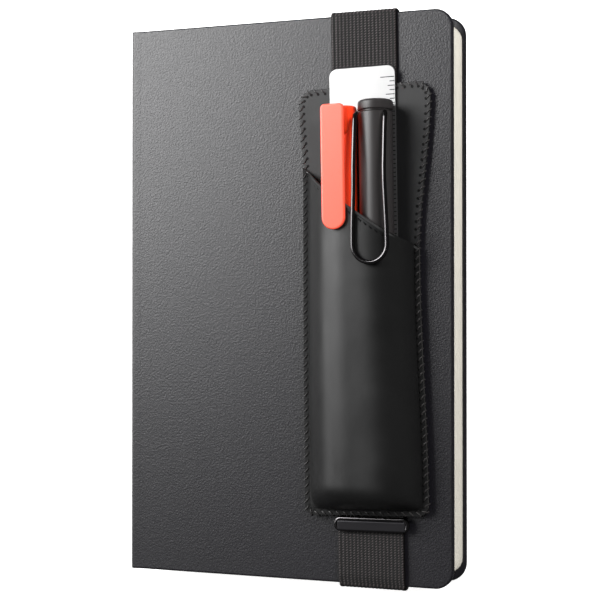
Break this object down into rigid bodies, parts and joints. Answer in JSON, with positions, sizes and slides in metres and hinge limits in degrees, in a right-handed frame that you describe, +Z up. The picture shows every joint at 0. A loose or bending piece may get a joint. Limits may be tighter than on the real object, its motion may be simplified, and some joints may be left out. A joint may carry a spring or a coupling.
{
  "type": "pocket notebook with pen pouch",
  "caption": "Hardcover pocket notebook with rounded corners, cream pages and an elastic leather pen pouch on its front cover that holds a ruler and capped pens.",
  "frame": {"origin": "middle of the footprint of the closed book's box, on the surface under the back cover", "axes": "+X from the spine to the fore-edge, +Y from the tail to the head of the page, +Z up from the back cover to the front cover"},
  "size_m": [0.13, 0.2128, 0.0398],
  "materials": {
    "leatherette": "fine-grained black leatherette, satin",
    "greyboard": "raw greyboard, hidden",
    "cream_paper": "uncoated cream paper",
    "mull_cloth": "open cotton mull, glued",
    "pouch_leather": "smooth black leather with overcast edges",
    "elastic": "ribbed black elastic",
    "black_nickel": "black nickel plating",
    "steel": "satin steel with etched ticks",
    "black_barrel": "satin black",
    "ink_cartridge": "ink-filled cartridge, hidden",
    "coral_plastic": "soft satin coral red",
    "ink_fibre": "pressed fibre, ink soaked"
  },
  "bodies": {
    "back_cover": {"back_cover_skin": "leatherette", "back_cover_board": "greyboard", "back_pastedown": "cream_paper", "back_joint_fold": "leatherette", "back_flyleaf": "cream_paper", "back_signature_1": "cream_paper", "back_signature_2": "cream_paper", "back_signature_3": "cream_paper", "back_signature_4": "cream_paper", "back_signature_5": "cream_paper", "back_signature_6": "cream_paper", "back_signature_7": "cream_paper", "back_mull": "mull_cloth"},
    "front_leaves": {"front_signature_1": "cream_paper", "front_signature_2": "cream_paper", "front_signature_3": "cream_paper", "front_signature_4": "cream_paper", "front_signature_5": "cream_paper", "front_signature_6": "cream_paper", "front_signature_7": "cream_paper", "front_mull": "mull_cloth"},
    "spine": {"spine_skin": "leatherette", "spine_board": "greyboard"},
    "front_joint": {"front_joint_fold": "leatherette", "front_flyleaf": "cream_paper"},
    "front_cover": {"front_cover_skin": "leatherette", "front_cover_board": "greyboard", "front_pastedown": "cream_paper"},
    "pen_pouch": {"pouch_back_panel": "pouch_leather", "pouch_front_panel": "pouch_leather", "elastic_strap": "elastic"},
    "slider": {"strap_slider": "black_nickel"},
    "ruler": {"steel_ruler": "steel"},
    "black_pen": {"black_pen_barrel": "black_barrel", "black_pen_grip": "black_barrel", "black_pen_feed": "black_barrel", "black_pen_nib": "steel", "black_pen_cartridge": "ink_cartridge"},
    "black_cap": {"black_pen_cap": "black_barrel", "black_pen_finial": "black_barrel", "black_pen_clip": "black_nickel"},
    "red_pen": {"red_pen_barrel": "coral_plastic", "red_pen_end_plug": "coral_plastic", "red_pen_tip": "ink_fibre", "red_pen_reservoir": "ink_fibre"},
    "red_cap": {"red_pen_cap": "coral_plastic"}
  },
  "joints": [
    {"name": "leaves_turn", "type": "hinge", "parent": "back_cover", "child": "front_leaves", "pos_m": [-0.0625, 0, 0.01], "axis": [0, 1, 0], "range_deg": [-180, 0]},
    {"name": "spine_flex", "type": "hinge", "parent": "back_cover", "child": "spine", "pos_m": [-0.0638, 0, 0.0012], "axis": [0, 1, 0], "range_deg": [-90, 0]},
    {"name": "front_fold_flex", "type": "hinge", "parent": "spine", "child": "front_joint", "pos_m": [-0.0638, 0, 0.0188], "axis": [0, 1, 0], "range_deg": [-90, 0]},
    {"name": "cover_open", "type": "hinge", "parent": "front_joint", "child": "front_cover", "pos_m": [-0.0638, 0, 0.0188], "axis": [0, -1, 0], "range_deg": [0, 180]},
    {"name": "pouch_slide", "type": "slide", "parent": "front_cover", "child": "pen_pouch", "axis": [1, 0, 0], "range_m": [-0.055, 0.075]},
    {"name": "slider_slide", "type": "slide", "parent": "pen_pouch", "child": "slider", "axis": [-0.0157, 0.9999, 0], "range_m": [-0.015, 0]},
    {"name": "ruler_draw", "type": "slide", "parent": "pen_pouch", "child": "ruler", "axis": [-0.0157, 0.9999, 0], "range_m": [0, 0.13]},
    {"name": "black_pen_draw", "type": "slide", "parent": "pen_pouch", "child": "black_pen", "axis": [-0.0157, 0.9999, 0], "range_m": [0, 0.13]},
    {"name": "black_cap_pull", "type": "slide", "parent": "black_pen", "child": "black_cap", "axis": [-0.0157, 0.9999, 0], "range_m": [0, 0.065]},
    {"name": "red_pen_draw", "type": "slide", "parent": "pen_pouch", "child": "red_pen", "axis": [-0.0157, 0.9999, 0], "range_m": [0, 0.13]},
    {"name": "red_cap_pull", "type": "slide", "parent": "red_pen", "child": "red_cap", "axis": [-0.0157, 0.9999, 0], "range_m": [0, 0.06]}
  ],
  "couplings": [
    {"joint": "spine_flex", "follows": "leaves_turn", "ratio": 0.5},
    {"joint": "front_fold_flex", "follows": "leaves_turn", "ratio": 0.5}
  ]
}
